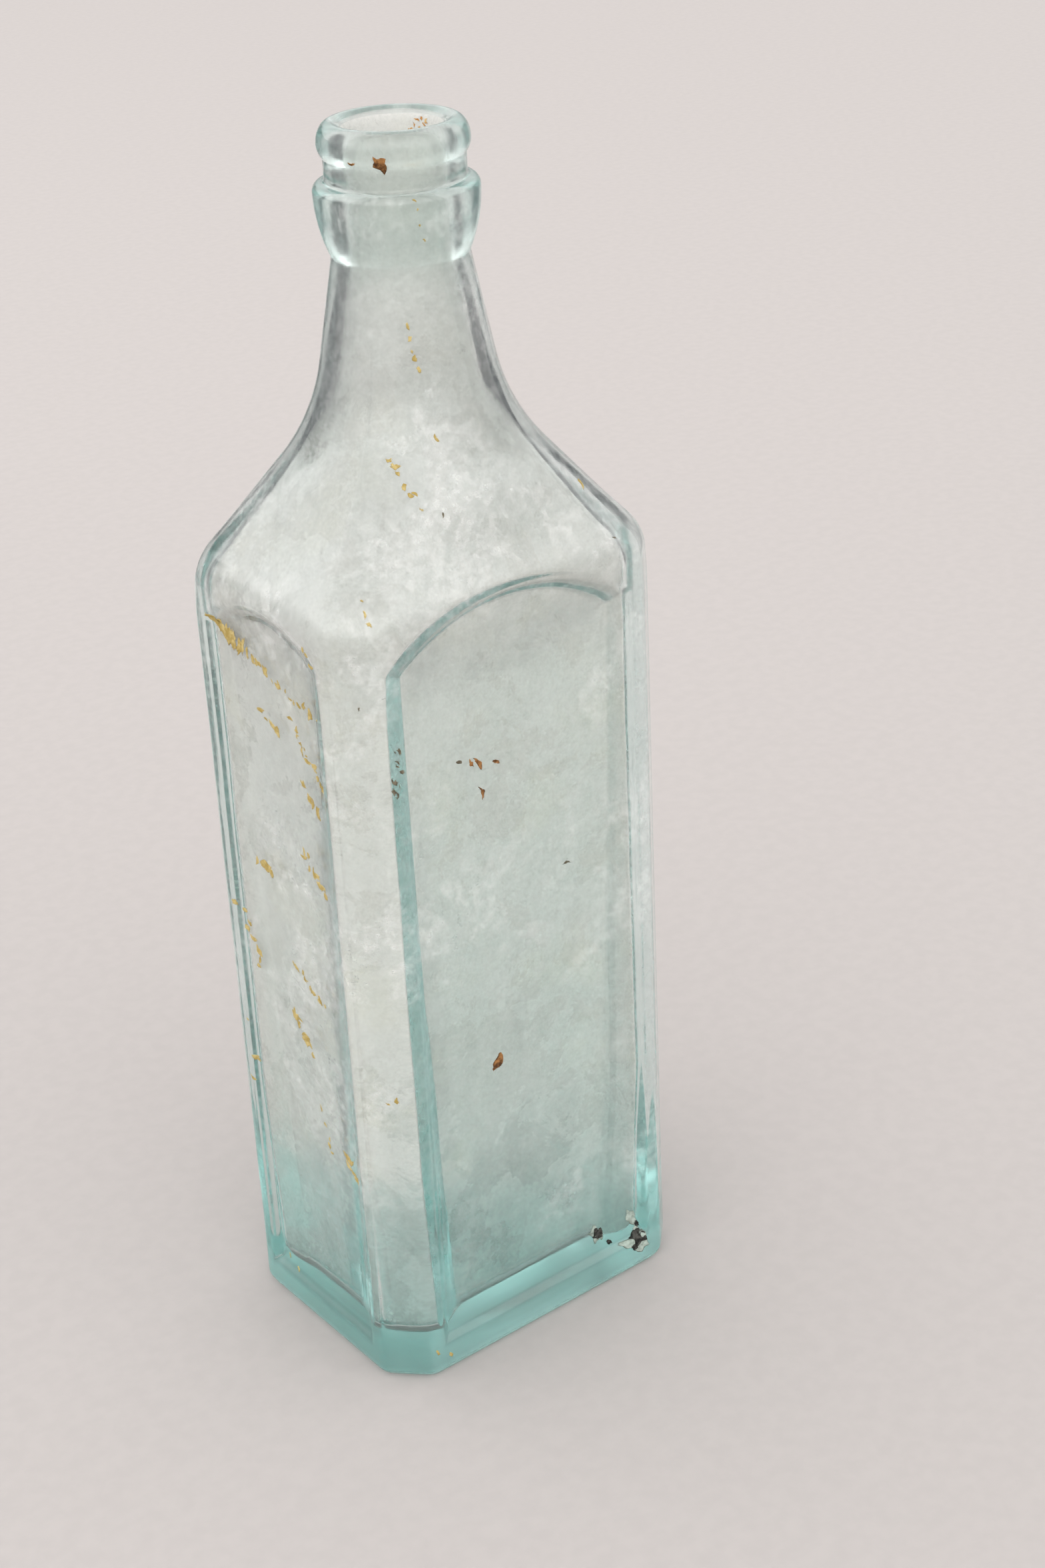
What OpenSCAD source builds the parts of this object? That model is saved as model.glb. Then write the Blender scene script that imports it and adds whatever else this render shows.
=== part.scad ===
// Empty rectangular medicine bottle of pale aqua glass: blown body with chamfered corners and a
// sunken round-topped panel on each side, and a tooled lip for a cork.
// Millimetres. +Z is up, X is the width of the broad sides. The origin is the centre of the base,
// on the surface that the bottle stands on.

/* [Body] */
// Width across the broad sides
body_w = 72.5; // [68:0.5:78]
// Depth across the narrow sides
body_d = 55; // [52:0.5:60]
// Setback of the flat corner chamfers
chamfer = 6.9; // [5:0.1:8]
// Radius that rounds the heel into the base
heel_r = 2.2; // [1:0.1:3]
// Wall thickness of the body, outside the panels
wall = 4.2; // [3.6:0.1:5]
// Setback of the cavity's own chamfers, which thickens the corners
cavity_chamfer = 9; // [7:0.5:12]
// Thickness of the glass under the cavity
base_t = 8; // [6:0.5:11]
// Radius that rounds the cavity's floor into its walls
floor_r = 7; // [4:0.5:9]
// Depth of the shallow dish under the base
dish_depth = 1.6; // [1:0.1:2.4]
// Radius of the dish
dish_r = 20; // [16:0.5:22]

/* [Panels] */
// Depth of the sunken panels
panel_depth = 1.3; // [0.8:0.1:1.6]
// Width of the sloping step around a panel
panel_step = 2.4; // [1.5:0.1:3]
// Width of the raised frame between a panel and the chamfers
frame_w = 2.9; // [2:0.1:4]
// Height of the panels' lower edge
panel_foot_z = 6.5; // [5:0.5:12]
// Height where a panel's sides end and its arched top begins
panel_spring_z = 150; // [140:1:152]
// Rise of the arch on the broad sides
broad_rise = 9.5; // [7:0.5:10]
// Rise of the arch on the narrow sides
narrow_rise = 7; // [5:0.5:9]

/* [Shoulder and neck] */
// Height where the corners start to curve inwards
shoulder_z = 155; // [154:0.5:158]
// Radius of the shoulder's upper curve, at the corners
shoulder_r = 9.2; // [7:0.1:11]
// Slope of the shoulder at the corners, in degrees above the horizontal
shoulder_slope = 46; // [42:1:48]
// Radius of the hollow curve from the shoulder into the neck
hollow_r = 34; // [28:1:36]
// Height at which the section has become fully round
round_z = 192; // [188:1:196]
// Widening of the neck's radius for each millimetre down
neck_flare = 0.188; // [0.17:0.002:0.2]
// Radius of the neck under the collar
neck_r = 12; // [11.5:0.1:12.5]

/* [Finish] */
// Total height of the bottle
total_h = 235; // [230:0.5:240]
// Height of the finish, from the neck to the rim
finish_h = 22.7; // [22:0.1:24]
// Radius of the cork's seat
bore_r = 8.5; // [8:0.1:8.8]
// Largest radius of the collar
collar_r = 14.35; // [14:0.05:15]
// Height of the collar's swelling side
collar_h = 11.1; // [10.5:0.1:11.5]
// Radius of the collar's rounded top edge
collar_edge_r = 1.6; // [1.2:0.1:1.8]
// Radius of the groove between the collar and the bead
groove_r = 12.2; // [12:0.1:12.5]
// Largest radius of the bead at the rim
bead_r = 13.1; // [12.8:0.1:13.5]
// Height of the bead's upper curve
bead_h = 3.6; // [3.2:0.1:4]
// Radius of the rim's highest ring
crest_r = 10.6; // [10:0.1:11]
// Depth of the rounded mouth above the cork's seat
mouth_depth = 2.6; // [2:0.1:3]

/* [Hidden] */

glass = [0.66, 0.80, 0.77, 0.6];
lip_glass = [0.60, 0.77, 0.74, 0.7];
// Upright edge at the foot and the head of the step around a panel
panel_floor_edge = 0.1;
overshoot = 1;

half_w = body_w / 2;
half_d = body_d / 2;
finish_z = total_h - finish_h;
panel_broad_w = half_w - chamfer - frame_w;
panel_narrow_w = half_d - chamfer - frame_w;

// Distance from the axis to the corner between a side and its chamfer
reach = norm([half_w, half_d - chamfer]);
// Half-width, half-depth and chamfer setback of the section, outside and in the cavity
outside_plan = [half_w, half_d, chamfer];
cavity_plan = [half_w - wall, half_d - wall, cavity_chamfer];

// Directions of a section's points in one quarter, with one at each corner of the chamfer
function directions(plan) =
    let (
        low = atan2(plan[1] - plan[2], plan[0]),
        high = atan2(plan[1], plan[0] - plan[2]),
        quarter = concat(
            [for (i = [0:4]) low * i / 5],
            [for (i = [0:2]) low + (high - low) * i / 3],
            [for (i = [0:5]) high + (90 - high) * i / 5]
        ),
        n = len(quarter)
    )
    concat(
        quarter,
        [for (i = [n - 2:-1:0]) 180 - quarter[i]],
        [for (i = [1:n - 1]) 180 + quarter[i]],
        [for (i = [n - 2:-1:1]) 360 - quarter[i]]
    );

// Distance from the axis to the wall in direction a: two pairs of flats and two pairs of chamfers
function plan_r(plan, a) =
    let (c = abs(cos(a)), s = abs(sin(a)))
    1 / max(c / plan[0], s / plan[1], (c + s) / (plan[0] + plan[1] - plan[2]));

// Roundness of the section at height z, from 0 on the body to 1 on the neck
function roundness(z) =
    let (t = min(1, max(0, (z - shoulder_z - 5) / (round_z - shoulder_z - 5)))) t * t * (3 - 2 * t);

// One ring of points. A station is [radius at the corners, height, roundness].
function ring(plan, station) =
    [for (a = directions(plan))
        let (
            square_r = plan_r(plan, a) / norm([plan[0], plan[1] - plan[2]]),
            r = station[0] * ((1 - station[2]) * square_r + station[2])
        )
        [r * cos(a), r * sin(a), station[1]]];

// Closed solid through a list of rings, lowest first, with each end closed by a fan
module loft(rings) {
    n = len(rings[0]);
    top = (len(rings) - 1) * n;
    low_centre = len(rings) * n;
    high_centre = low_centre + 1;
    polyhedron(
        points = concat(
            [for (r = rings) each r],
            [[0, 0, rings[0][0][2]], [0, 0, rings[len(rings) - 1][0][2]]]
        ),
        faces = concat(
            [for (i = [0:n - 1]) [i, (i + 1) % n, low_centre]],
            [for (k = [0:len(rings) - 2], i = [0:n - 1])
                let (a = k * n + i, b = k * n + (i + 1) % n)
                each [[a, a + n, b], [b, a + n, b + n]]],
            [for (i = [0:n - 1]) [top + (i + 1) % n, top + i, high_centre]]
        ),
        convexity = 4
    );
}

// Shoulder line at the corners: a rounded edge, a straight slope, a hollow curve, then the neck
slope_end = 90 - atan(neck_flare);
edge_points = [for (i = [0:4])
    let (a = (90 - shoulder_slope) * i / 4)
    [reach - shoulder_r * (1 - cos(a)), shoulder_z + shoulder_r * sin(a)]];
edge_top = edge_points[len(edge_points) - 1];
hollow_offset = hollow_r * [sin(shoulder_slope) - sin(slope_end), cos(shoulder_slope) - cos(slope_end)];
// The slope is as long as makes the hollow curve end on the neck's cone
cone_gap = (edge_top + hollow_offset) * [1, neck_flare] - neck_r - neck_flare * finish_z;
slope_length = cone_gap / (cos(shoulder_slope) - neck_flare * sin(shoulder_slope));
hollow_start = edge_top + slope_length * [-cos(shoulder_slope), sin(shoulder_slope)];
hollow_points = [for (i = [0:5])
    let (a = shoulder_slope + (slope_end - shoulder_slope) * i / 5)
    hollow_start + hollow_r * [sin(shoulder_slope) - sin(a), cos(shoulder_slope) - cos(a)]];
hollow_end = hollow_points[len(hollow_points) - 1];
slope_points = [for (t = [0.33, 0.67]) edge_top + t * (hollow_start - edge_top)];
shoulder_line = concat(edge_points, slope_points, hollow_points);

// Thickness of the glass at height z: the body's, thinning evenly up the shoulder to the neck's
function thickness(z) =
    let (t = max(0, (z - shoulder_z) / (finish_z - shoulder_z))) wall + (neck_r - bore_r - wall) * t;
// The cavity's shoulder lies this far below the outside, so that the slope keeps its thickness
cavity_drop = 1.2;

outside_stations = concat(
    [for (i = [0:3])
        let (a = 30 * i)
        [reach - heel_r * (1 - sin(a)), heel_r * (1 - cos(a)), 0]],
    [for (p = shoulder_line) [p[0], p[1], roundness(p[1])]],
    [[(hollow_end[0] + neck_r) / 2, (hollow_end[1] + finish_z) / 2, 1], [neck_r, finish_z, 1]]
);

cavity_reach = norm([cavity_plan[0], cavity_plan[1] - cavity_plan[2]]);
cavity_stations = concat(
    [for (i = [0:4])
        let (a = 22.5 * i)
        [cavity_reach - floor_r * (1 - sin(a)), base_t + floor_r * (1 - cos(a)), 0]],
    [[cavity_reach, panel_spring_z, 0]],
    [for (p = shoulder_line)
        let (z = p[1] - cavity_drop, blend = min(1, (p[1] - shoulder_z) / shoulder_r))
        [p[0] - thickness(z) - (1 - blend) * (reach - wall - cavity_reach), z, roundness(p[1])]],
    [[bore_r, finish_z, 1], [bore_r, finish_z + overshoot, 1]]
);

// Points of an elliptical arc about [x, z], from angle a0 to a1
function arc(x, z, rx, rz, a0, a1, n) =
    [for (i = [0:n]) let (a = a0 + (a1 - a0) * i / n) [x + rx * cos(a), z + rz * sin(a)]];

// Outline of a panel in its own plane, drawn in by inset on every side
module panel_outline(half, rise, inset) {
    full_r = (half * half + rise * rise) / (2 * rise);
    arch_r = full_r - inset;
    x = half - inset;
    spring_a = acos(x / arch_r);
    polygon(concat(
        [[-x, panel_foot_z + inset], [x, panel_foot_z + inset]],
        arc(0, panel_spring_z + rise - full_r, arch_r, arch_r, spring_a, 180 - spring_a, 12)
    ));
}

// Cutter for a panel on the side at distance out from the axis, facing -Y. Its step goes on
// outwards past the side at the same slope.
module panel_cutter(half, rise, out) {
    spread = panel_step * overshoot / panel_depth;
    translate([0, panel_depth - out, 0])
        rotate([90, 0, 0])
            hull() {
                linear_extrude(panel_floor_edge) panel_outline(half, rise, panel_step);
                translate([0, 0, panel_depth + overshoot])
                    linear_extrude(panel_floor_edge) panel_outline(half, rise, -spread);
            }
}

module dish() {
    dish_curve_r = (dish_r * dish_r + dish_depth * dish_depth) / (2 * dish_depth);
    rotate_extrude($fn = 72)
        polygon(concat(
            [[0, -overshoot], [dish_r, -overshoot]],
            [for (i = [0:7])
                let (x = dish_r * (1 - i / 8))
                [x, dish_depth - dish_curve_r + sqrt(dish_curve_r * dish_curve_r - x * x)]],
            [[0, dish_depth - dish_curve_r + sqrt(dish_curve_r * dish_curve_r - pow(dish_r / 8, 2))]]
        ));
}

module body() {
    color(glass)
        difference() {
            loft([for (s = outside_stations) ring(outside_plan, s)]);
            loft([for (s = cavity_stations) ring(cavity_plan, s)]);
            for (turn = [0, 180]) {
                rotate([0, 0, turn]) panel_cutter(panel_broad_w, broad_rise, half_d);
                rotate([0, 0, turn + 90]) panel_cutter(panel_narrow_w, narrow_rise, half_w);
            }
            dish();
        }
}

module finish() {
    collar_z = finish_z + collar_h;
    // The collar's side is an arc that is upright at its widest and meets the neck's radius below
    swell = collar_r - neck_r;
    side_r = (swell * swell + collar_h * collar_h) / (2 * swell);
    groove_z = collar_z + collar_edge_r;
    bead_z = total_h - bead_h;
    color(lip_glass)
        rotate_extrude($fn = 96)
            polygon(concat(
                [[bore_r, finish_z]],
                arc(collar_r - side_r, collar_z, side_r, side_r, -asin(collar_h / side_r), 0, 8),
                arc(collar_r - collar_edge_r, collar_z, collar_edge_r, collar_edge_r, 15, 90, 5),
                [[groove_r + 0.3, groove_z + 0.1], [groove_r, groove_z + 0.5]],
                arc(bead_r - bead_h, bead_z, bead_h, bead_h, -acos((groove_r - bead_r) / bead_h + 1), 0, 4),
                arc(crest_r, bead_z, bead_r - crest_r, bead_h, 15, 90, 5),
                arc(crest_r, total_h - mouth_depth, crest_r - bore_r, mouth_depth, 105, 180, 5)
            ));
}

body();
finish();
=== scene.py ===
"""Looks of an empty aqua-glass medicine bottle with chamfered corners, sunken panels and a cork lip."""

import math

import bpy
import numpy as np
from mathutils import Matrix, Vector, noise
from mathutils.bvhtree import BVHTree


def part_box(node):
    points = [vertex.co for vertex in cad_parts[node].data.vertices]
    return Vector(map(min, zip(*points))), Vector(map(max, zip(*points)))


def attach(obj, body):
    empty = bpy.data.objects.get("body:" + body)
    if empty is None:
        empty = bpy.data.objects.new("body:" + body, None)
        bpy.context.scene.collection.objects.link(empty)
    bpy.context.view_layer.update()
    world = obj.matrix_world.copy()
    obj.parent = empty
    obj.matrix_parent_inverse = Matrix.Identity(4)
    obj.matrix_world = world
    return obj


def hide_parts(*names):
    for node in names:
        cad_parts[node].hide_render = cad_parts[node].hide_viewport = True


MM = 0.001

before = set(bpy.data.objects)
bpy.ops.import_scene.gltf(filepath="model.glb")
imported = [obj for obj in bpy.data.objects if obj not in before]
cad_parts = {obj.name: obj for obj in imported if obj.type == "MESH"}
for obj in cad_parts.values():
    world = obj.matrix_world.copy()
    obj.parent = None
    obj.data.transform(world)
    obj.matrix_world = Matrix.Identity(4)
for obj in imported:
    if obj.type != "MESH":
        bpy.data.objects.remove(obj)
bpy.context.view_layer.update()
BODY_LOW, BODY_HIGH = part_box("body")
FINISH_LOW, FINISH_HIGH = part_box("finish")

# Sizes in millimetres. The overall ones come from the frame. The outside's others repeat the CAD part's,
# except for a slightly rounder heel.
HALF_W = (BODY_HIGH.x - BODY_LOW.x) / 2 / MM
HALF_D = (BODY_HIGH.y - BODY_LOW.y) / 2 / MM
TOTAL_H = FINISH_HIGH.z / MM
FINISH_Z = FINISH_LOW.z / MM
CHAMFER = 6.9
HEEL_R = 2.8
DISH_R, DISH_DEPTH = 20.0, 1.6
PANEL_DEPTH, PANEL_STEP, FRAME_W = 1.3, 2.4, 2.9
PANEL_FOOT_Z, PANEL_SPRING_Z = 6.5, 150.0
# From this height up to the shoulder the mesh's rows lie closer, for the arches
CLOSE_ROWS_Z = 140.0
BROAD_RISE, NARROW_RISE = 9.5, 7.0
SHOULDER_Z, SHOULDER_R, SHOULDER_SLOPE = 155.0, 9.2, math.radians(46)
HOLLOW_R = 34.0
# The section turns from the plan at TURN_Z to a circle at ROUND_Z, and its corners soften from SOFTEN_Z on
TURN_Z, ROUND_Z = SHOULDER_Z + 5, 192.0
SOFTEN_Z, SOFTEN_SPAN = 148.0, 20.0
NECK_FLARE, NECK_R = 0.188, 12.0
BORE_R, CREST_R, MOUTH_DEPTH = 8.5, 10.6, 2.6
COLLAR_R, COLLAR_H, COLLAR_EDGE_R, GROOVE_R = 14.35, 11.1, 1.6, 12.2
BEAD_R, BEAD_H = 13.1, 3.6

# The cavity has sizes of its own, chosen for how the glass looks
WALL = 2.5
CAVITY_CHAMFER = 7.0
BASE_T = 8.0
FLOOR_R = 4.5
FLOOR_RISE = 0.8
# Towards the foot it turns narrower by a share of its width, over a span of heights
FOOT_FILL, FOOT_TOP_Z, FOOT_SPAN = 0.06, 50.0, 42.0
# Up the shoulder it follows the outside's line from slightly below it, and its corners draw in to a circle
CAVITY_LAG, LAG_END_Z, LAG_SPAN = 1.2, 205.0, 20.0
DRAW_IN_Z, DRAW_IN_SPAN = 158.0, 30.0
# On the cavity's wall a panel has a steep step, wider towards the foot, and then a soft bulge. On the broad
# sides the step begins a margin outside the panel's edge.
INNER_STEP, INNER_FOOT_STEP = 3.8, 7.4
STEP_TOP_Z, STEP_SPAN = 142.0, 130.0
BROAD_SLOPE, NARROW_SLOPE = 1.0, 0.42
INNER_MARGIN = 1.0
INNER_PANEL_FOOT_Z = -9.0
BULGE_DEPTH, BULGE_REACH = 0.9, 9.0
# Upwards the step turns flatter behind the arch and the bulge fades, each by a share, over a span of heights
ARCH_EASE, ARCH_EASE_Z, ARCH_EASE_SPAN = 0.4, 138.0, 16.0
BULGE_FADE, BULGE_FADE_Z, BULGE_FADE_SPAN = 0.6, 100.0, 54.0
# The cavity stands off centre, which makes the glass thicker on the right and the back
CAVITY_SHIFT = (-0.6, -0.4)
# The dried film stands this far off the cavity's wall
FILM_GAP = 0.12
# How far the unevenness of blown glass goes, on the cavity's wall and outside
INNER_UNEVEN, OUTER_UNEVEN = 0.3, 0.1
# The mould seam stands on two opposite corners
SEAM_HEIGHT, SEAM_WIDTH = 0.12, math.radians(0.8)

REACH = math.hypot(HALF_W, HALF_D - CHAMFER)
SEAM_ANGLE = math.atan2(HALF_D - CHAMFER, HALF_W)

# The photograph's view: angles, a place in metres and a lens in millimetres
CAMERA_AZIMUTH = math.radians(-37.15)
CAMERA_ELEVATION = math.radians(26.82)
CAMERA_ROLL = math.radians(-2.865)
CAMERA_PLACE = Vector((-0.2448, -0.3500, 0.32495))
CAMERA_LENS = 57.96


# ---------------------------------------------------------------- glass shape


def column_angles():
    """Directions of the mesh's columns: even on the panels, close at steps, corners and the seam.

    Each span is (from, to, columns).
    """
    step_low = math.atan2(HALF_D - CHAMFER - FRAME_W - PANEL_STEP, HALF_W)
    frame_low = math.atan2(HALF_D - CHAMFER - FRAME_W, HALF_W)
    low = SEAM_ANGLE
    high = math.atan2(HALF_D, HALF_W - CHAMFER)
    frame_high = math.atan2(HALF_D, HALF_W - CHAMFER - FRAME_W)
    step_high = math.atan2(HALF_D, HALF_W - CHAMFER - FRAME_W - PANEL_STEP)
    corner = math.radians(1.6)
    spans = [
        (0.0, step_low, 16),
        (step_low, frame_low, 8),
        (frame_low, low - corner, 3),
        (low - corner, low, 6),
        (low, low + corner, 6),
        (low + corner, high - corner, 8),
        (high - corner, high + corner, 10),
        (high + corner, frame_high, 4),
        (frame_high, step_high, 8),
        (step_high, math.pi / 2, 26),
    ]
    parts = [np.linspace(a, b, n, endpoint=False) for a, b, n in spans]
    quarter = np.concatenate(parts + [[math.pi / 2]])
    half = np.concatenate([quarter, math.pi - quarter[-2::-1]])
    return np.concatenate([half[:-1], half[:-1] + math.pi])


ANGLES = column_angles()
COS, SIN = np.cos(ANGLES), np.sin(ANGLES)


def plan_radius(half_w, half_d, chamfer, sharpness):
    """Distance from the axis to a chamfered rectangle in every column, with its corners eased."""
    c, s = np.abs(COS), np.abs(SIN)
    flats = np.stack([c / half_w, s / half_d, (c + s) / (half_w + half_d - chamfer)])
    top = flats.max(0)
    return 1 / (top * ((flats / top) ** sharpness).sum(0) ** (1 / sharpness))


OUTER_PLAN = plan_radius(HALF_W, HALF_D, CHAMFER, 80)
SOFT_PLAN = plan_radius(HALF_W, HALF_D, CHAMFER, 20)
CAVITY_PLAN = plan_radius(HALF_W - WALL, HALF_D - WALL, CAVITY_CHAMFER, 34)
CAVITY_REACH = math.hypot(HALF_W - WALL, HALF_D - WALL - CAVITY_CHAMFER)


def smooth(t):
    """A soft step from 0 to 1."""
    t = np.clip(t, 0, 1)
    return t * t * (3 - 2 * t)


def roundness(z):
    """How far the section has turned from the plan to a circle at a height."""
    return float(smooth((z - TURN_Z) / (ROUND_Z - TURN_Z)))


def loft_row(plan, plan_reach, reach, z):
    """One row of points whose section turns from the plan to a circle with height."""
    w = roundness(z)
    if plan is OUTER_PLAN:
        soft = smooth((z - SOFTEN_Z) / SOFTEN_SPAN)
        plan = (1 - soft) * OUTER_PLAN + soft * SOFT_PLAN
    r = reach * ((1 - w) * plan / plan_reach + w)
    return np.stack([r * COS, r * SIN, np.full_like(r, z)], 1)


def arc(x, z, rx, rz, a0, a1, n):
    """Points on an ellipse around (x, z), between two angles in degrees."""
    a = np.radians(np.linspace(a0, a1, n))
    return [(x + rx * math.cos(t), z + rz * math.sin(t)) for t in a]


def shoulder_line():
    """(radius at the corners, height) up the shoulder: rounded edge, slope, hollow curve, neck."""
    slope_end = math.pi / 2 - math.atan(NECK_FLARE)
    a = np.linspace(0, math.pi / 2 - SHOULDER_SLOPE, 24)
    edge = np.stack([REACH - SHOULDER_R * (1 - np.cos(a)), SHOULDER_Z + SHOULDER_R * np.sin(a)], 1)
    start_dir = np.array([math.sin(SHOULDER_SLOPE), math.cos(SHOULDER_SLOPE)])
    end_dir = np.array([math.sin(slope_end), math.cos(slope_end)])
    cone = np.array([1, NECK_FLARE])
    gap = (edge[-1] + HOLLOW_R * (start_dir - end_dir)) @ cone - NECK_R - NECK_FLARE * FINISH_Z
    length = gap / (math.cos(SHOULDER_SLOPE) - NECK_FLARE * math.sin(SHOULDER_SLOPE))
    start = edge[-1] + length * np.array([-math.cos(SHOULDER_SLOPE), math.sin(SHOULDER_SLOPE)])
    slope = [edge[-1] + t * (start - edge[-1]) for t in np.linspace(0, 1, 18)[1:-1]]
    a = np.linspace(SHOULDER_SLOPE, slope_end, 28)
    hollow = start + HOLLOW_R * (start_dir - np.stack([np.sin(a), np.cos(a)], 1))
    top = np.array([NECK_R, FINISH_Z])
    neck = [hollow[-1] + t * (top - hollow[-1]) for t in np.linspace(0, 1, 16)[1:]]
    return np.concatenate([edge, slope, hollow, neck])


def thickness(z):
    """The wall's thickness at a height: the body's, turning into the neck's."""
    t = max(0.0, (z - SHOULDER_Z) / (FINISH_Z - SHOULDER_Z))
    return WALL + (NECK_R - BORE_R - WALL) * t


def cavity_drawn_in(z):
    """How far the cavity's corners lie inside their place on the straight body at this height."""
    line = shoulder_line()
    outside_z = z + CAVITY_LAG * smooth((LAG_END_Z - z) / LAG_SPAN)
    reach = np.interp(outside_z, line[:, 1], line[:, 0], left=REACH)
    to_circle = (CAVITY_REACH - REACH + WALL) * smooth((z - DRAW_IN_Z) / DRAW_IN_SPAN)
    return REACH - reach + thickness(z) - WALL + to_circle


def cavity_row(z, part=1.0):
    """The cavity's section at a height, or a smaller copy of it for the cavity's floor."""
    row = loft_row(CAVITY_PLAN, CAVITY_REACH, CAVITY_REACH - cavity_drawn_in(z), z)
    row = sink_panels(row, WALL)
    row[:, :2] *= part * (1 - FOOT_FILL * smooth((FOOT_TOP_Z - z) / FOOT_SPAN))
    return row


def finish_line():
    """(radius, height) of the lip from the neck's top, over the rim and down the bore."""
    collar_z = FINISH_Z + COLLAR_H
    swell = COLLAR_R - NECK_R
    side_r = (swell**2 + COLLAR_H**2) / (2 * swell)
    bead_z = TOTAL_H - BEAD_H
    low_a = -math.degrees(math.asin(COLLAR_H / side_r))
    under_a = -math.degrees(math.acos((GROOVE_R - BEAD_R) / BEAD_H + 1))
    groove = collar_z + COLLAR_EDGE_R
    line = arc(COLLAR_R - side_r, collar_z, side_r, side_r, low_a, 0, 22)
    line += arc(COLLAR_R - COLLAR_EDGE_R, collar_z, COLLAR_EDGE_R, COLLAR_EDGE_R, 8, 90, 12)
    line += [(GROOVE_R + 0.35, groove + 0.08), (GROOVE_R + 0.1, groove + 0.25), (GROOVE_R, groove + 0.7)]
    line += arc(BEAD_R - BEAD_H, bead_z, BEAD_H, BEAD_H, under_a, 0, 14)
    line += arc(CREST_R, bead_z, BEAD_R - CREST_R, BEAD_H, 7, 90, 16)
    line += arc(CREST_R, TOTAL_H - MOUTH_DEPTH, CREST_R - BORE_R, MOUTH_DEPTH, 98, 180, 14)
    line += [(BORE_R, z) for z in np.linspace(TOTAL_H - MOUTH_DEPTH - 1, FINISH_Z + 1, 14)]
    return line


def outer_panel(inside):
    """How deep a panel is outside, by the distance inside the panel's edge."""
    t = np.clip(inside / PANEL_STEP, 0, 1)
    return PANEL_DEPTH * (0.2 * t + 0.8 * smooth(t))


def inner_panel(inside, z, slope):
    """How far a panel's back stands into the cavity, by the distance inside the panel's edge."""
    step = INNER_STEP + (INNER_FOOT_STEP - INNER_STEP) * smooth((STEP_TOP_Z - z) / STEP_SPAN)
    slope = slope * (1 - ARCH_EASE * smooth((z - ARCH_EASE_Z) / ARCH_EASE_SPAN))
    bulge = BULGE_DEPTH * (1 - BULGE_FADE * smooth((z - BULGE_FADE_Z) / BULGE_FADE_SPAN))
    t = np.clip(inside / step, 0, 1)
    soft = 1 - (1 - np.clip((inside - 0.7 * step) / BULGE_REACH, 0, 1)) ** 2
    return slope * step * t + bulge * soft


def sink_panels(row, wall=0.0):
    """Push a row in at the sunken panels; wall is how far the row's faces lie inside the outside."""
    outside = wall == 0
    foot_z = PANEL_FOOT_Z if outside else INNER_PANEL_FOOT_Z
    x, y, z = row[:, 0], row[:, 1], row[:, 2]
    broad = (x, y, HALF_D, BROAD_RISE, INNER_MARGIN, BROAD_SLOPE)
    narrow = (y, x, HALF_W, NARROW_RISE, 0.0, NARROW_SLOPE)
    for along, out, half_out, rise, margin, slope in (broad, narrow):
        half = (HALF_W + HALF_D - half_out) - CHAMFER - FRAME_W
        full_r = (half**2 + rise**2) / (2 * rise)
        centre_z = PANEL_SPRING_Z + rise - full_r
        wider = 0.0 if outside else margin
        inside = np.minimum(half + wider - np.abs(along), z - foot_z)
        below_arch = full_r + 0.3 * wider - np.hypot(along, np.maximum(z - centre_z, 0))
        inside = np.minimum(inside, below_arch)
        depth = outer_panel(inside) if outside else inner_panel(inside, z, slope)
        floor = half_out - wall - depth
        face = (np.abs(out) > half_out * 0.6) & (inside > 0)
        out[:] = np.where(face, np.sign(out) * np.minimum(np.abs(out), floor), out)
    return np.stack([x, y, z], 1)


def uneven(points, inner):
    """The unevenness of hand-blown glass, the cavity's place off centre, and the mould seam."""
    z = points[..., 2]
    flat = points.reshape(-1, 3)
    is_inner = inner.repeat(points.shape[1])
    amount = np.where(inner, INNER_UNEVEN, OUTER_UNEVEN).repeat(points.shape[1])
    # Less of it at the base and on the lip
    amount *= np.clip(flat[:, 2] / 12, 0, 1) * np.clip((FINISH_Z + 6 - flat[:, 2]) / 20, 0.12, 1)
    # Broad waves and finer ones, both drawn out upwards
    push = np.array([noise.noise(Vector((p[0] * 0.05, p[1] * 0.05, p[2] * 0.028))) for p in flat])
    fine = np.array([noise.noise(Vector((p[0] * 0.16 + 40, p[1] * 0.16, p[2] * 0.11))) for p in flat])
    radial = np.linalg.norm(flat[:, :2], axis=1)
    grow = amount * (push - np.where(is_inner, 0, 0.4) + 0.35 * fine)
    flat[:, :2] *= (1 + grow / np.maximum(radial, 5))[:, None]
    # Up the shoulder the cavity comes back to the centre
    shift = (1 - smooth((flat[:, 2] - 150) / 40)) * is_inner
    flat[:, 0] += CAVITY_SHIFT[0] * shift
    flat[:, 1] += CAVITY_SHIFT[1] * shift

    # The mould seam, from the heel up to the neck
    ridge = 0.0
    for angle in (SEAM_ANGLE, SEAM_ANGLE + math.pi):
        off = np.abs((ANGLES - angle + math.pi) % (2 * math.pi) - math.pi)
        ridge = ridge + np.exp(-((off / SEAM_WIDTH) ** 2))
    height = SEAM_HEIGHT * smooth((z[:, :1] - 3) / 6) * (1 - smooth((z[:, :1] - 188) / 18)) * ~inner[:, None]
    radial = np.linalg.norm(points[..., :2], axis=2)
    points[..., :2] *= (1 + height * ridge / np.maximum(radial, 5))[..., None]
    return points


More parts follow.
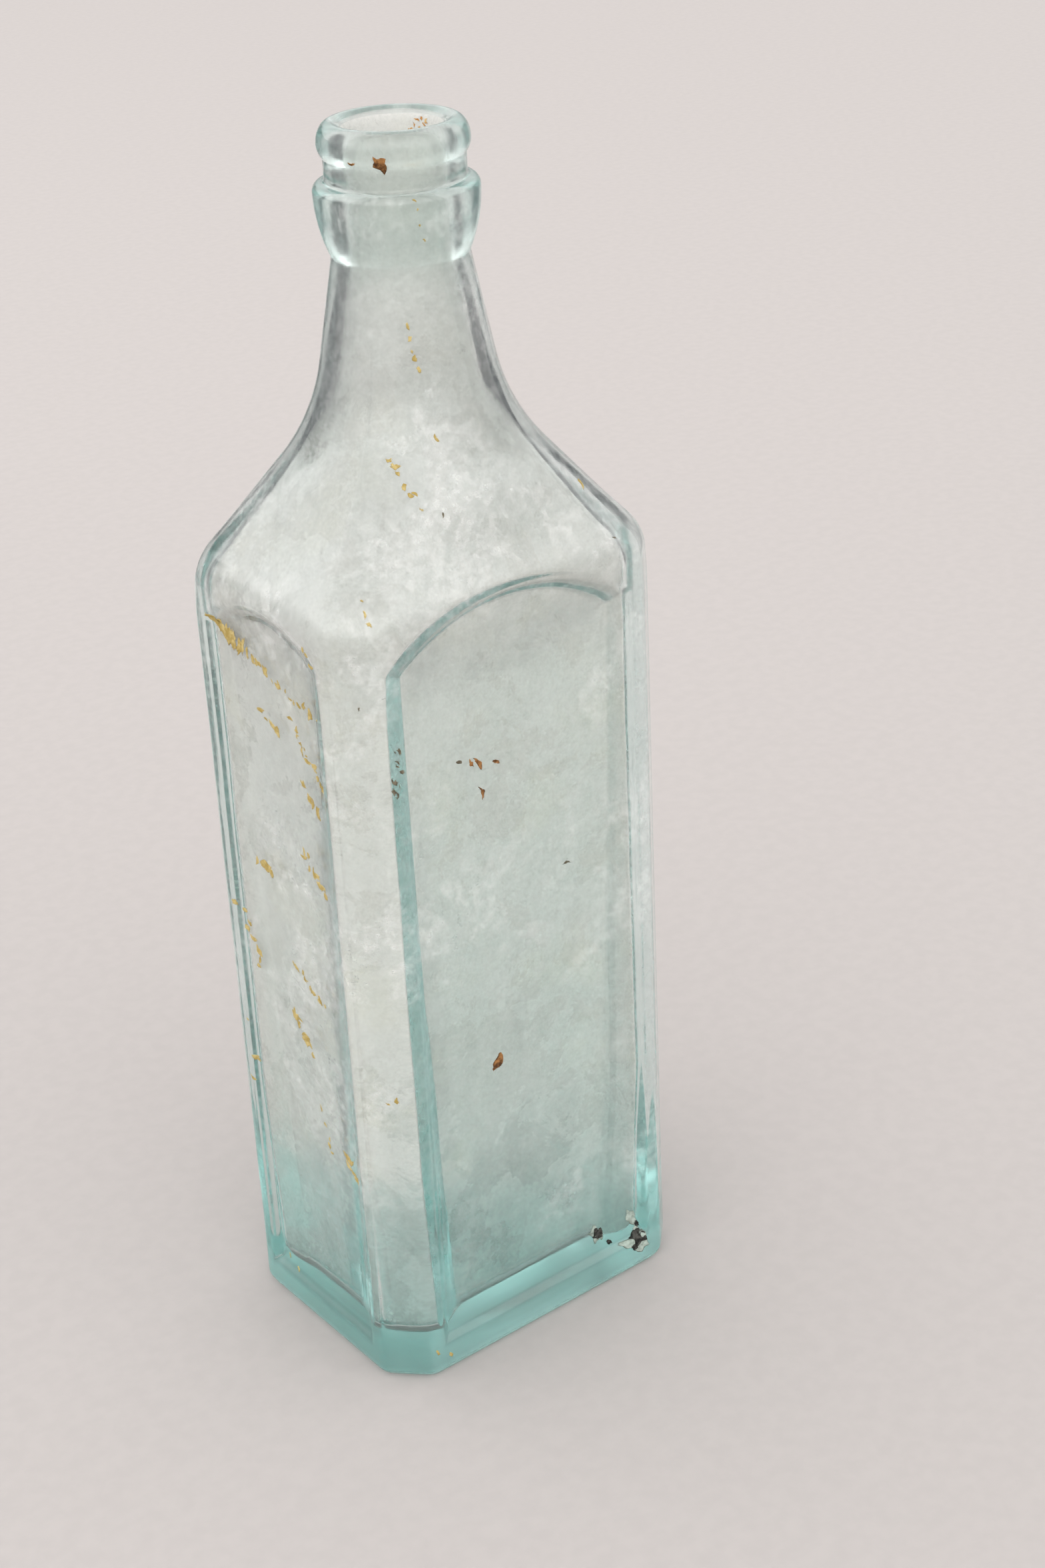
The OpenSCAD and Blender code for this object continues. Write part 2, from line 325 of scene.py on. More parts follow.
def glass_rows():
    """Every row of the bottle's surface, from under the base, over the rim, to the cavity's floor."""
    rows, inner = [], []

    def add(row, is_inner):
        rows.append(row)
        inner.append(is_inner)

    # Under the base, round the heel and up the straight sides
    dish_curve = (DISH_R**2 + DISH_DEPTH**2) / (2 * DISH_DEPTH)
    heel = (REACH - HEEL_R) / REACH * OUTER_PLAN
    for part in np.linspace(0.04, 1, 22):
        r = heel * part
        r_dish = np.minimum(r, DISH_R)
        z = np.sqrt(dish_curve**2 - r_dish**2) - dish_curve + DISH_DEPTH
        add(np.stack([r * COS, r * SIN, z], 1), False)
    for a in np.linspace(0, math.pi / 2, 8)[1:]:
        reach = REACH - HEEL_R * (1 - math.sin(a))
        add(loft_row(OUTER_PLAN, REACH, reach, HEEL_R * (1 - math.cos(a))), False)
    straight = np.concatenate([
        np.linspace(3, PANEL_FOOT_Z, 5, endpoint=False),
        np.linspace(PANEL_FOOT_Z, PANEL_FOOT_Z + PANEL_STEP, 8, endpoint=False),
        np.linspace(PANEL_FOOT_Z + PANEL_STEP, CLOSE_ROWS_Z, 56, endpoint=False),
        np.linspace(CLOSE_ROWS_Z, SHOULDER_Z, 34, endpoint=False),
    ])
    for z in straight:
        add(sink_panels(loft_row(OUTER_PLAN, REACH, REACH, z)), False)

    # Shoulder, neck and lip, and down the bore
    shoulder = shoulder_line()
    for reach, z in shoulder:
        add(sink_panels(loft_row(OUTER_PLAN, REACH, reach, z)), False)
    finish = finish_line()
    crest = int(np.argmax([z for _, z in finish]))
    for i, (r, z) in enumerate(finish[1:], 1):
        add(np.stack([r * COS, r * SIN, np.full_like(COS, z)], 1), i > crest + 8)

    # The cavity's shoulder, walls, rounded foot and floor
    for _, z in shoulder[::-1]:
        if z > SHOULDER_Z + 6.5:
            add(loft_row(CAVITY_PLAN, CAVITY_REACH, CAVITY_REACH - cavity_drawn_in(z), z), True)
    upper = np.linspace(SHOULDER_Z + 6, CLOSE_ROWS_Z, 40, endpoint=False)
    lower = np.linspace(CLOSE_ROWS_Z, BASE_T + FLOOR_R, 60)
    for z in np.concatenate([upper, lower]):
        add(cavity_row(z), True)
    for a in np.linspace(0, math.pi / 2, 14)[1:]:
        row = cavity_row(BASE_T + FLOOR_R, 1 - FLOOR_R * (1 - math.cos(a)) / CAVITY_REACH)
        row[:, 2] = BASE_T + FLOOR_R * (1 - math.sin(a))
        add(row, True)
    for part in np.linspace(1, 0.04, 16)[1:]:
        row = cavity_row(BASE_T + FLOOR_R, part * (1 - FLOOR_R / CAVITY_REACH))
        row[:, 2] = BASE_T + FLOOR_RISE * (1 - part**2)
        add(row, True)
    return np.array(rows), np.array(inner)


def new_object(name, verts, faces, smooth_faces=True):
    """A mesh object with these points and faces, in the scene."""
    mesh = bpy.data.meshes.new(name)
    mesh.from_pydata(verts, [], faces)
    mesh.update()
    mesh.polygons.foreach_set("use_smooth", [smooth_faces] * len(mesh.polygons))
    obj = bpy.data.objects.new(name, mesh)
    bpy.context.scene.collection.objects.link(obj)
    return obj


def build_glass():
    """The whole bottle as one closed mesh, with a vertex value that tells the cavity's wall."""
    points, inner = glass_rows()
    points = uneven(points, inner)
    n = points.shape[1]
    middles = [[0, 0, DISH_DEPTH], [0, 0, BASE_T + FLOOR_RISE]]
    verts = np.concatenate([points.reshape(-1, 3), middles]) * MM
    first, last = len(verts) - 2, len(verts) - 1
    faces = []
    for k in range(len(points) - 1):
        for i in range(n):
            j = (i + 1) % n
            faces.append((k * n + i, k * n + j, (k + 1) * n + j, (k + 1) * n + i))
    top = (len(points) - 1) * n
    faces += [(first, (i + 1) % n, i) for i in range(n)]
    faces += [(top + i, top + (i + 1) % n, last) for i in range(n)]
    obj = new_object("bottle_glass", [tuple(v) for v in verts], faces)
    mesh = obj.data
    values = np.concatenate([inner.repeat(n), [False, True]]).astype(np.float32)
    mesh.attributes.new("cavity", "FLOAT", "POINT").data.foreach_set("value", values)
    return obj


# ---------------------------------------------------------------- deposits
# Angles are degrees around the axis from +X, and lengths are millimetres.
# A trail of flakes: angle and height at its start, the same at its end, how many, the longest one's length.
# A single place: angle, height, length, width and tilt in degrees.

OCHRE_TRAILS = [
    (154, 150, 176, 145, 12, 3.4),
    (176, 145, 204, 140, 12, 1.8),
    (202, 155, 205, 149, 3, 1.6),
    (173, 136, 184, 133, 4, 2.6),
    (190, 138, 204, 126, 18, 1.5),
    (194, 126, 200, 121, 5, 2.3),
    (163, 103, 173, 101, 4, 2.8),
    (191, 112, 201, 104, 10, 1.9),
    (154, 92, 161, 78, 8, 2.0),
    (179, 85, 195, 79, 11, 1.6),
    (177, 74, 185, 66, 7, 2.4),
    (154, 67, 155, 49, 3, 1.7),
    (187, 55, 191, 44, 5, 1.8),
    (197, 48, 205, 42, 9, 2.5),
    (218, 66, 221, 64, 2, 1.3),
    (218, 164, 223, 157, 3, 1.3),
    (221, 183, 239, 173, 7, 1.4),
    (247, 185, 248, 184, 1, 1.4),
    (317, 170, 318, 169, 1, 2.0),
    (236, 204, 241, 195, 5, 1.2),
    (244, 226, 254, 217, 4, 1.0),
    (157, 10, 169, 8, 2, 2.0),
    (224, 6, 229, 4, 2, 1.7),
]
RUST_SPOTS = [
    (224, 230, 2.7, 1.3, 110),
    (226, 229.5, 1.4, 0.7, 40),
    (201, 230, 1.2, 0.3, 0),
    (252, 64, 3, 1.2, 55),
    (248, 127.5, 1.4, 0.4, 115),
    (251, 127, 2.6, 0.5, 120),
    (259, 126, 1.6, 0.4, 150),
    (252, 121, 2, 0.4, 100),
]
DARK_TRAILS = [
    (225.5, 136, 224.5, 126.5, 12, 1.3),
    (243, 129, 244, 128, 1, 1.2),
    (290, 100, 291, 100, 1, 1.4),
    (245, 173, 246, 172, 1, 0.9),
    (217, 145, 218, 144, 1, 0.7),
    (312, 161, 313, 160, 1, 0.8),
]
MOUTH_TRAILS = [
    (8, 233, 40, 231, 10, 1.2),
    (14, 230.3, 24, 229.8, 3, 0.7),
    (50, 231, 66, 230, 3, 0.6),
    (189, 233, 198, 233, 2, 2.3),
]
CORNER_CRUST = [
    (310, 6.5, 6.5, 2.2, 150),
    (297, 13, 4.5, 1.7, 125),
    (311, 12.5, 4, 1.2, 115),
    (312.5, 8.5, 3.5, 1, 105),
]
CORNER_LUMPS = [
    (311.5, 7.5, 3.9, 2.4, 130),
    (298, 13, 2.6, 1.4, 125),
    (312.5, 10.5, 1.3, 0.5, 105),
    (302.5, 9.5, 1.2, 0.5, 140),
    (309, 6, 1.6, 0.8, 135),
]
# How wide a strewn flake is on average, for its length
OCHRE_SLENDER, DARK_SLENDER, MOUTH_SLENDER = 0.30, 0.24, 0.5
# Outside, the blobs are drawn larger than listed; in the bore they stand on the film
SWELL_LENGTH, SWELL_WIDTH = 1.15, 1.7
MOUTH_LIFT, MOUTH_THICKNESS = 0.16, 0.08
BLOB_SIDES = 20
# How far from the axis, in metres, a line starts that looks for the outside
RAY_START = 0.06


def strewn(trails, slender, rng):
    """Single places strewn along each trail, mostly short ones, at their own sizes and tilts."""
    places = []
    for start, low, end, high, count, longest in trails:
        several = count > 1
        for k in range(count):
            t = (k + rng.uniform(0.2, 0.8)) / count
            azimuth = start + (end - start) * t + 0.8 * rng.standard_normal() * several
            height = low + (high - low) * t + 0.5 * rng.standard_normal() * several
            length = longest * (rng.uniform(0.4, 1.1) if several else 1.0)
            width = length * slender * rng.uniform(0.6, 1.6)
            tilt = rng.uniform(70, 190)
            places.append((azimuth, height, length, width, tilt))
    return places


def add_blob(parts, tree, hit, length, width, tilt, lift, thickness, rng):
    """One small crusty blob that follows the glass: an irregular outline, a raised rim and a bottom."""
    place, normal = hit
    side = Vector((0, 0, 1)).cross(normal).normalized()
    up = normal.cross(side)
    turn = math.radians(tilt)
    along = side * math.cos(turn) + up * math.sin(turn)
    across = normal.cross(along)
    verts, faces = parts
    start, n = len(verts), BLOB_SIDES
    around = np.linspace(0, 2 * math.pi, n, endpoint=False)
    waves = []
    for k in (2, 3, 4, 5, 7):
        waves.append(rng.uniform(-0.2, 0.2) * np.cos(k * around + rng.uniform(0, 6.28)))
    edge = 1 + sum(waves) + 0.06 * rng.standard_normal(n).clip(-1.4, 1.4)
    bend = rng.uniform(-0.35, 0.35) * length / 2
    for part, height in ((1.0, -0.03), (0.86, 0.7), (0.5, 0.45)):
        for k in range(n):
            t = 2 * math.pi * k / n
            u = math.cos(t) * edge[k] * part
            v = math.sin(t) * edge[(k + 5) % n] * part
            aside = v * width / 2 + bend * (u * u - 0.4)
            flat = place + along * (u * length / 2 * MM) + across * (aside * MM)
            near, tangent, _, _ = tree.find_nearest(flat)
            rough = height * thickness * (1 + 0.3 * rng.standard_normal())
            out = normal if tangent.dot(normal) > 0 else -normal
            verts.append(near + out * ((lift + rough) * MM))
    verts.append(place + normal * ((lift + 0.5 * thickness) * MM))
    verts.append(place + normal * ((lift - 0.05) * MM))
    top, bottom = start + 3 * n, start + 3 * n + 1
    for k in range(n):
        j = (k + 1) % n
        for ring in (start, start + n):
            faces.append((ring + k, ring + j, ring + n + j, ring + n + k))
        faces.append((start + 2 * n + k, start + 2 * n + j, top))
        faces.append((start + j, start + k, bottom))


def outside_hit(tree, azimuth, height):
    """Where a level line from outside towards the axis meets the glass."""
    a = math.radians(azimuth)
    way = Vector((math.cos(a), math.sin(a), 0))
    place, normal, _, _ = tree.ray_cast(way * RAY_START + Vector((0, 0, height * MM)), -way)
    return place, normal


def bore_hit(tree, azimuth, height):
    """Where a level line from the axis outwards meets the bore."""
    a = math.radians(azimuth)
    way = Vector((math.cos(a), math.sin(a), 0))
    place, normal, _, _ = tree.ray_cast(Vector((0, 0, height * MM)), way)
    return place, normal if normal.dot(way) < 0 else -normal


def build_blobs(name, parts, material):
    """One piece made of every blob of one kind."""
    verts, faces = parts
    blobs = new_object(name, [tuple(v) for v in verts], faces)
    blobs.data.materials.append(material)
    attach(blobs, "root")


def build_deposits(glass):
    """Ochre flakes, rust spots, dark specks, and the crust at the front right corner."""
    rng = np.random.default_rng(11)
    mesh = glass.data
    tree = BVHTree.FromPolygons([v.co for v in mesh.vertices], [p.vertices for p in mesh.polygons])
    ochre = strewn(OCHRE_TRAILS, OCHRE_SLENDER, rng)
    dark = strewn(DARK_TRAILS, DARK_SLENDER, rng)
    pale_crust = crust_material("pale_crust", (0.24, 0.29, 0.25), (0.42, 0.50, 0.45))
    dark_lump = crust_material("dark_lump", (0.008, 0.008, 0.007), (0.07, 0.07, 0.062))
    ochre_crust = crust_material("ochre_crust", (0.36, 0.26, 0.075), (0.54, 0.43, 0.19))
    rust_crust = crust_material("rust_crust", (0.07, 0.03, 0.012), (0.36, 0.17, 0.055))
    dark_dirt = crust_material("dark_dirt", (0.09, 0.075, 0.05), (0.20, 0.17, 0.12))
    # Each kind: name, places, thickness, material
    outside = (
        ("corner_crust", CORNER_CRUST, 0.18, pale_crust),
        ("corner_lumps", CORNER_LUMPS, 0.5, dark_lump),
        ("ochre_flakes", ochre, 0.08, ochre_crust),
        ("rust_spots", RUST_SPOTS, 0.10, rust_crust),
        ("dark_specks", dark, 0.07, dark_dirt),
    )
    for name, places, thickness, material in outside:
        parts = ([], [])
        for azimuth, height, length, width, tilt in places:
            hit = outside_hit(tree, azimuth, height)
            add_blob(parts, tree, hit, SWELL_LENGTH * length, SWELL_WIDTH * width, tilt, 0.0, thickness, rng)
        build_blobs(name, parts, material)

    parts = ([], [])
    for azimuth, height, length, width, tilt in strewn(MOUTH_TRAILS, MOUTH_SLENDER, rng):
        hit = bore_hit(tree, azimuth, height)
        add_blob(parts, tree, hit, length, width, tilt, MOUTH_LIFT, MOUTH_THICKNESS, rng)
    mouth_rust = crust_material("mouth_rust", (0.45, 0.20, 0.06), (0.66, 0.45, 0.20))
    build_blobs("mouth_specks", parts, mouth_rust)


# ---------------------------------------------------------------- materials
# Heights and noise scales count in metres here.

GLASS_IOR = 1.5
GLASS_TINT, GLASS_DENSITY = (0.20, 0.78, 0.745, 1), 16.8
# The old liquid line is tilted: its height falls with x and y, so it is highest at the front left corner
LINE_TILT_X, LINE_TILT_Y = 0.38, 0.20
# A dark grey mixed into the film from the arches up: painted shade that darkens the shoulder
PAINTED_SHADE_GREY = (0.10, 0.10, 0.10, 1)
PAPER_DARK, PAPER_LIGHT = (0.452, 0.424, 0.416, 1), (0.469, 0.440, 0.431, 1)
BACKDROP = (0.70, 0.652, 0.634, 1)


class Nodes:
    """Small helper that makes and links shader nodes.

    Wherever a value is expected, it takes a number, a colour or another node's socket.
    """

    def __init__(self, tree):
        self.tree = tree
        tree.nodes.clear()

    def add(self, kind, inputs=None, **settings):
        node = self.tree.nodes.new(kind)
        for key, value in settings.items():
            setattr(node, key, value)
        for key, value in (inputs or {}).items():
            self.set(node.inputs[key], value)
        return node

    def set(self, socket, value):
        if isinstance(value, bpy.types.NodeSocket):
            self.tree.links.new(value, socket)
        else:
            socket.default_value = value

    def math(self, operation, *values, clamp=False):
        node = self.add("ShaderNodeMath", operation=operation, use_clamp=clamp)
        for i, value in enumerate(values):
            self.set(node.inputs[i], value)
        return node.outputs[0]

    def noise(self, vector, scale, detail=4.0, rough=0.55, distortion=0.0):
        inputs = {
            "Vector": vector,
            "Scale": scale,
            "Detail": detail,
            "Roughness": rough,
            "Distortion": distortion,
        }
        return self.add("ShaderNodeTexNoise", inputs).outputs["Fac"]

    def ramp(self, value, low, high, out_low=0.0, out_high=1.0):
        """A soft step: out_low where the value is at low or under, out_high at high and over."""
        inputs = {
            "Value": value,
            "From Min": low,
            "From Max": high,
            "To Min": out_low,
            "To Max": out_high,
        }
        node = self.add("ShaderNodeMapRange", inputs, interpolation_type="SMOOTHSTEP")
        return node.outputs["Result"]

    def mix(self, factor, a, b):
        node = self.add("ShaderNodeMix", data_type="RGBA")
        self.set(node.inputs[0], factor)
        self.set(node.inputs[6], a)
        self.set(node.inputs[7], b)
        return node.outputs[2]


def build_film(glass):
    """The dried film on the cavity's wall, as a sheet lying just off the glass."""
    source = glass.data
    cavity = np.zeros(len(source.vertices), np.float32)
    source.attributes["cavity"].data.foreach_get("value", cavity)
    keep = np.flatnonzero(cavity > 0.5)
    number = {int(old): new for new, old in enumerate(keep)}
    vertices = [source.vertices[int(i)] for i in keep]
    verts = [vertex.co + vertex.normal * (FILM_GAP * MM) for vertex in vertices]
    faces = []
    for face in source.polygons:
        if all(v in number for v in face.vertices):
            faces.append([number[v] for v in face.vertices])
    film = new_object("inner_film", verts, faces)
    film.data.materials.append(film_material())
    return film


def new_material(name):
    """A material and the helper for its nodes."""
    material = bpy.data.materials.new(name)
    material.use_nodes = True
    return material, Nodes(material.node_tree)


def glass_material():
    """Clear aqua glass: worn, hazy and rippled, coloured by absorption alone and frosted under the base."""
    material, n = new_material("aqua_glass")
    where = n.add("ShaderNodeTexCoord").outputs["Object"]
    ripple = n.noise(where, 130.0, 3.0, 0.5)
    hair = n.noise(where, 900.0, 4.0, 0.6)
    relief = n.math("MULTIPLY_ADD", hair, 0.012, n.math("MULTIPLY", ripple, 0.35))
    bump = n.add("ShaderNodeBump", {"Strength": 0.35, "Distance": 0.0006, "Height": relief})
    height = n.add("ShaderNodeSeparateXYZ", {"Vector": where}).outputs["Z"]

    # Wear in fine scuffs and clouds, and etched islands with crisp edges
    scuffs = n.ramp(n.noise(where, 520.0, 6.0, 0.7), 0.40, 0.64)
    clouds = n.ramp(n.noise(where, 38.0, 4.0, 0.55), 0.38, 0.66)
    worn = n.math("MULTIPLY_ADD", scuffs, 0.11, n.math("MULTIPLY_ADD", clouds, 0.07, 0.05))
    etched = n.ramp(n.noise(where, 58.0, 10.0, 0.68, 0.5), 0.49, 0.54)
    etched = n.math("MULTIPLY", etched, n.ramp(n.noise(where, 21.0, 2.0), 0.44, 0.56))
    etched = n.math("MULTIPLY", etched, n.math("MULTIPLY_ADD", scuffs, 0.7, 0.3))

    # Haze over the glass, but not on the clear base; the lip is slightly rougher and greener
    haze = n.math("MULTIPLY_ADD", scuffs, 0.05, n.math("MULTIPLY_ADD", clouds, 0.05, 0.03))
    haze = n.math("MULTIPLY_ADD", etched, 0.16, haze)
    haze = n.math("MULTIPLY", haze, n.ramp(height, 0.008, 0.034))
    worn = n.math("ADD", worn, n.ramp(height, 0.200, 0.216, 0.0, 0.03))
    colour = n.mix(n.ramp(height, 0.205, 0.215), (1.0, 1.0, 0.99, 1), (0.93, 0.955, 0.935, 1))
    frosted = n.ramp(height, 0.0006, 0.003, 0.45, 0.03)
    shader = n.add("ShaderNodeBsdfPrincipled", {
        "Base Color": colour,
        "Roughness": n.math("MAXIMUM", worn, frosted),
        "IOR": GLASS_IOR,
        "Transmission Weight": n.math("SUBTRACT", 1.0, haze),
        "Normal": bump.outputs["Normal"],
    })
    volume = n.add("ShaderNodeVolumeAbsorption", {"Color": GLASS_TINT, "Density": GLASS_DENSITY})
    n.add("ShaderNodeOutputMaterial", {
        "Surface": shader.outputs["BSDF"],
        "Volume": volume.outputs["Volume"],
    })
    return material


def film_material():
    """Dried film: pale and cloudy above the old liquid line, thinner below it, where its aqua colour is
    painted light from the thick base.
    """
    material, n = new_material("dried_film")
    where = n.add("ShaderNodeTexCoord").outputs["Object"]
    split = n.add("ShaderNodeSeparateXYZ", {"Vector": where})
    height = split.outputs["Z"]
    # How far a place lies above the old liquid line, whose edge wanders a little
    level = n.math("MULTIPLY_ADD", split.outputs["X"], LINE_TILT_X, height)
    level = n.math("MULTIPLY_ADD", split.outputs["Y"], LINE_TILT_Y, level)
    level = n.math("MULTIPLY_ADD", n.noise(where, 40.0, 3.0), -0.012, level)
    above = n.ramp(level, 0.018, 0.026)

    # Thicker islands with crisp edges, soft clouds, and a fine grain all over
    broad = n.noise(where, 23.0, 3.0, 0.5)
    broken = n.noise(where, 74.0, 12.0, 0.70, 0.4)
    crust = n.ramp(n.math("MULTIPLY_ADD", broad, 0.55, broken), 0.735, 0.755)
    clouds = n.ramp(n.noise(where, 90.0, 8.0, 0.62, 0.4), 0.35, 0.68)
    grain = n.ramp(n.noise(where, 1000.0, 7.0, 0.75), 0.40, 0.62)
    # How much of the wall it covers: more at the far left, partly painted light that makes that side
    # lighter, less under the line, at the foot and up the neck
    cover = n.math("MULTIPLY_ADD", clouds, 0.07, 0.59)
    cover = n.math("MULTIPLY_ADD", grain, 0.19, cover)
    cover = n.math("MULTIPLY_ADD", crust, 0.19, cover)
    # More white film on the far left side: partly film the side has, partly painted light that brightens
    # that side
    cover = n.math("ADD", cover, n.ramp(split.outputs["X"], -0.032, -0.026, 0.12, 0.0))
    cover = n.math("MULTIPLY", cover, n.math("MULTIPLY_ADD", above, 0.42, 0.58), clamp=True)
    cover = n.math("MULTIPLY", cover, n.ramp(height, 0.008, 0.018, 0.75, 1.0))
    cover = n.math("MULTIPLY", cover, n.ramp(height, 0.170, 0.200, 1.0, 0.80))

    # Warm white; under the line a painted aqua light that stands in for light coming through the thick base;
    # and from the panels' arches up a painted shade of grey
    warm = n.ramp(n.noise(where, 44.0, 5.0, 0.6), 0.50, 0.68)
    colour = n.mix(clouds, (0.97, 0.945, 0.91, 1), (1.0, 0.975, 0.945, 1))
    colour = n.mix(n.math("MULTIPLY", warm, 0.8), colour, (0.99, 0.95, 0.82, 1))
    colour = n.mix(n.math("MULTIPLY", crust, 0.5), colour, (1.0, 0.995, 0.97, 1))
    # Painted light: the film turns aqua under the line, standing in for light that comes through the thick
    # aqua base
    colour = n.mix(n.ramp(level, 0.008, 0.027), (0.76, 0.98, 0.95, 1), colour)
    body = n.ramp(height, 0.145, 0.175, 0.64, 0.50)
    opaque = n.math("MULTIPLY_ADD", crust, 0.16, n.math("SUBTRACT", body, 0.10))
    # Painted shade: from the panels' arches up the film is mixed towards dark grey, darkening the upper body
    # and shoulder
    painted_shade = n.ramp(height, 0.132, 0.160, 0.0, 0.22)
    colour = n.mix(painted_shade, colour, PAINTED_SHADE_GREY)
    shader = n.add("ShaderNodeBsdfPrincipled", {
        "Base Color": colour,
        "Roughness": 0.75,
        "IOR": 1.25,
        "Transmission Weight": n.math("SUBTRACT", 1.0, opaque),
        "Alpha": cover,
    })
    n.add("ShaderNodeOutputMaterial", {"Surface": shader.outputs["BSDF"]})
    return material


def crust_material(name, deep, light):
    """Dry mineral or rust crust, mottled between two colours and rough all over."""
    material, n = new_material(name)
    where = n.add("ShaderNodeTexCoord").outputs["Object"]
    patches = n.ramp(n.noise(where, 900.0, 6.0, 0.65), 0.38, 0.64)
    grains = n.noise(where, 5200.0, 3.0, 0.6)
    colour = n.mix(patches, (*deep, 1), (*light, 1))
    bump = n.add("ShaderNodeBump", {"Strength": 0.6, "Distance": 0.00006, "Height": grains})
    shader = n.add("ShaderNodeBsdfPrincipled", {
        "Base Color": colour,
        "Roughness": n.ramp(patches, 0.0, 1.0, 0.95, 0.75),
        "Specular IOR Level": 0.25,
        "Normal": bump.outputs["Normal"],
    })
    n.add("ShaderNodeOutputMaterial", {"Surface": shader.outputs["BSDF"]})
    return material


def floor_material():
    """Pale paper with a faint grain."""
    material, n = new_material("paper_sweep")
    where = n.add("ShaderNodeTexCoord").outputs["Object"]
    grain = n.ramp(n.noise(where, 260.0, 4.0), 0.3, 0.7)
    shader = n.add("ShaderNodeBsdfPrincipled", {
        "Base Color": n.mix(grain, PAPER_DARK, PAPER_LIGHT),
        "Roughness": 0.85,
        "Specular IOR Level": 0.2,
    })
    n.add("ShaderNodeOutputMaterial", {"Surface": shader.outputs["BSDF"]})
    return material


# ---------------------------------------------------------------- stage
# Sizes in metres, except for the gap under the base, which is in millimetres like the bottle.

FLOOR_HALF, FLOOR_GAP = 6.0, 0.03
FLAG_DISTANCE, FLAG_FOOT_Z, FLAG_STRIPS = 0.55, 0.002, 8
# The way the camera looks, as an angle from +X on the floor
FORWARD = math.pi / 2 + CAMERA_AZIMUTH


def build_floor():
    """A large level sheet just under the base, so that the glass doesn't touch it."""
    size, z = FLOOR_HALF, -FLOOR_GAP * MM
    verts = [(-size, -size, z), (size, -size, z), (size, size, z), (-size, size, z)]
    floor = new_object("floor", verts, [(0, 1, 2, 3)], smooth_faces=False)
    floor.data.materials.append(floor_material())


def build_world():
    """A pale room, brighter above the horizon and in front of the bottle.

    The camera itself sees a backdrop in the floor's colour instead.
    """
    world = bpy.data.worlds.new("studio")
    bpy.context.scene.world = world
    world.use_nodes = True
    n = Nodes(world.node_tree)
    where = n.add("ShaderNodeTexCoord").outputs["Generated"]
    split = n.add("ShaderNodeSeparateXYZ", {"Vector": where})
    z = split.outputs["Z"]
    sky = n.ramp(z, 0.0, 0.40, 0.44, 1.95)
    sky = n.math("MULTIPLY", sky, n.ramp(z, 0.48, 0.98, 1.0, 0.42))
    to_front = n.math("MULTIPLY", split.outputs["X"], -math.cos(FORWARD))
    to_front = n.math("MULTIPLY_ADD", split.outputs["Y"], -math.sin(FORWARD), to_front)
    sky = n.math("MULTIPLY", sky, n.ramp(to_front, -0.3, 0.7, 0.90, 1.40))
    room = n.add("ShaderNodeBackground", {"Color": (1.0, 0.985, 0.97, 1), "Strength": sky})
    backdrop = n.add("ShaderNodeBackground", {"Color": BACKDROP, "Strength": 1.0})
    seen = n.add("ShaderNodeLightPath").outputs["Is Camera Ray"]
    either = n.add("ShaderNodeMixShader", {
        0: seen,
        1: room.outputs["Background"],
        2: backdrop.outputs["Background"],
    })
    n.add("ShaderNodeOutputWorld", {"Surface": either.outputs["Shader"]})


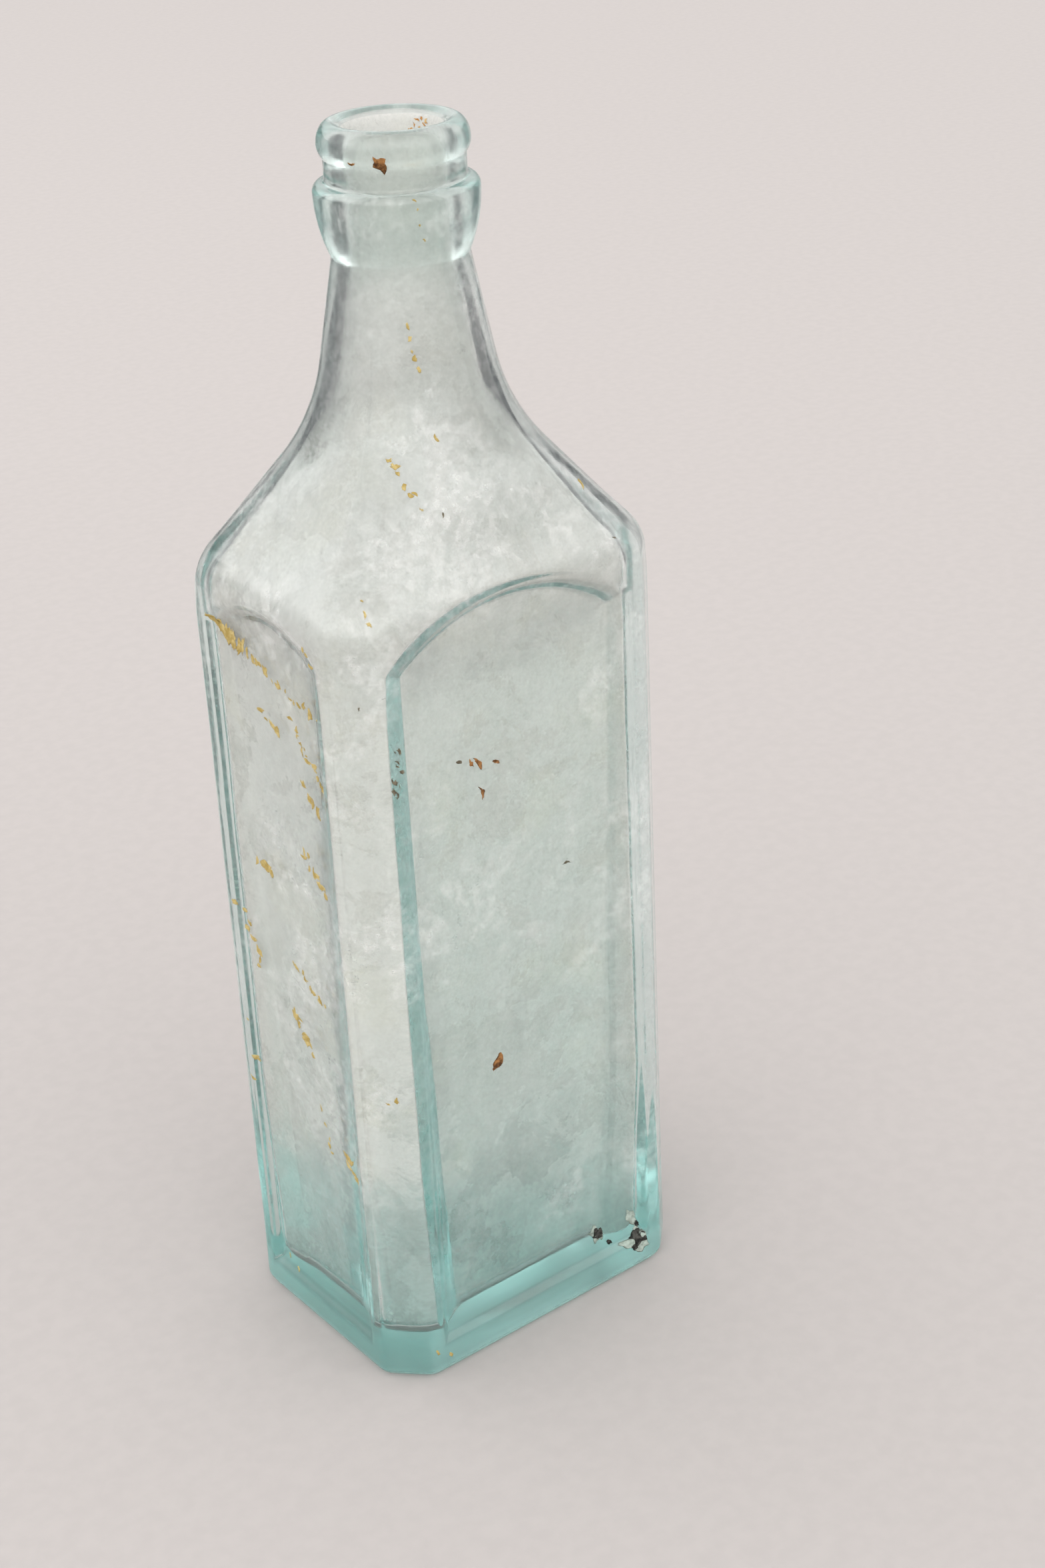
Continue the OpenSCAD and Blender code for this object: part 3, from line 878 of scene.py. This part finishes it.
def build_flag(name, low, high, top):
    """A dark card behind the bottle, beyond the picture's edge, that the glass reflects as dark streaks.

    It spans two angles, in degrees to the left of the way the camera looks.
    """
    around = [FORWARD + math.radians(a) for a in np.linspace(low, high, FLAG_STRIPS + 1)]
    verts = []
    for z in (FLAG_FOOT_Z, top):
        verts += [(FLAG_DISTANCE * math.cos(a), FLAG_DISTANCE * math.sin(a), z) for a in around]
    row = FLAG_STRIPS + 1
    faces = [(i, i + 1, i + row + 1, i + row) for i in range(FLAG_STRIPS)]
    flag = new_object(name, verts, faces, smooth_faces=False)
    material, n = new_material(name)
    shader = n.add("ShaderNodeBsdfPrincipled", {"Base Color": (0.02, 0.022, 0.03, 1), "Roughness": 0.9})
    n.add("ShaderNodeOutputMaterial", {"Surface": shader.outputs["BSDF"]})
    flag.data.materials.append(material)
    flag.visible_camera = False
    flag.visible_diffuse = False
    flag.visible_shadow = False


def build_light():
    """A broad soft light on the bottle's left and slightly behind it, as the camera sees it."""
    data = bpy.data.lights.new("soft_key", "AREA")
    data.shape = "RECTANGLE"
    data.size, data.size_y = 1.3, 1.1
    data.energy = 2.2
    light = bpy.data.objects.new("soft_key", data)
    light.location = (-0.52, 0.97, 0.85)
    light.rotation_euler = (Vector((0, 0, 0.08)) - light.location).to_track_quat("-Z", "Y").to_euler()
    bpy.context.scene.collection.objects.link(light)


def build_camera():
    """The photograph's view, from a place, three angles and a lens."""
    data = bpy.data.cameras.new("camera")
    data.sensor_fit = "VERTICAL"
    data.sensor_height = 36.0
    data.sensor_width = 24.0
    data.lens = CAMERA_LENS
    data.clip_start = 0.01
    data.clip_end = 50
    az, el = CAMERA_AZIMUTH, CAMERA_ELEVATION
    back = Vector((math.sin(az) * math.cos(el), -math.cos(az) * math.cos(el), math.sin(el)))
    right = (-back).cross(Vector((0, 0, 1))).normalized()
    up = right.cross(-back)
    roll = CAMERA_ROLL
    side = math.cos(roll) * right + math.sin(roll) * up
    top = math.cos(roll) * up - math.sin(roll) * right
    turn = Matrix((side, top, back)).transposed().to_4x4()
    camera = bpy.data.objects.new("camera", data)
    camera.matrix_world = Matrix.Translation(CAMERA_PLACE) @ turn
    bpy.context.scene.collection.objects.link(camera)
    bpy.context.scene.camera = camera


build_camera()
build_world()
build_light()
build_floor()
build_flag("left_flag", 21, 70, 0.34)
build_flag("right_flag", -54, -28, 0.34)

glass = build_glass()
glass.data.materials.append(glass_material())
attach(glass, "root")
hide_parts("body", "finish")

film = build_film(glass)
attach(film, "root")
build_deposits(glass)

bpy.context.scene.view_settings.view_transform = "Standard"
bpy.context.scene.cycles.max_bounces = 32
bpy.context.scene.cycles.transmission_bounces = 32
bpy.context.scene.cycles.glossy_bounces = 16
bpy.context.scene.cycles.diffuse_bounces = 6
bpy.context.scene.cycles.transparent_max_bounces = 16
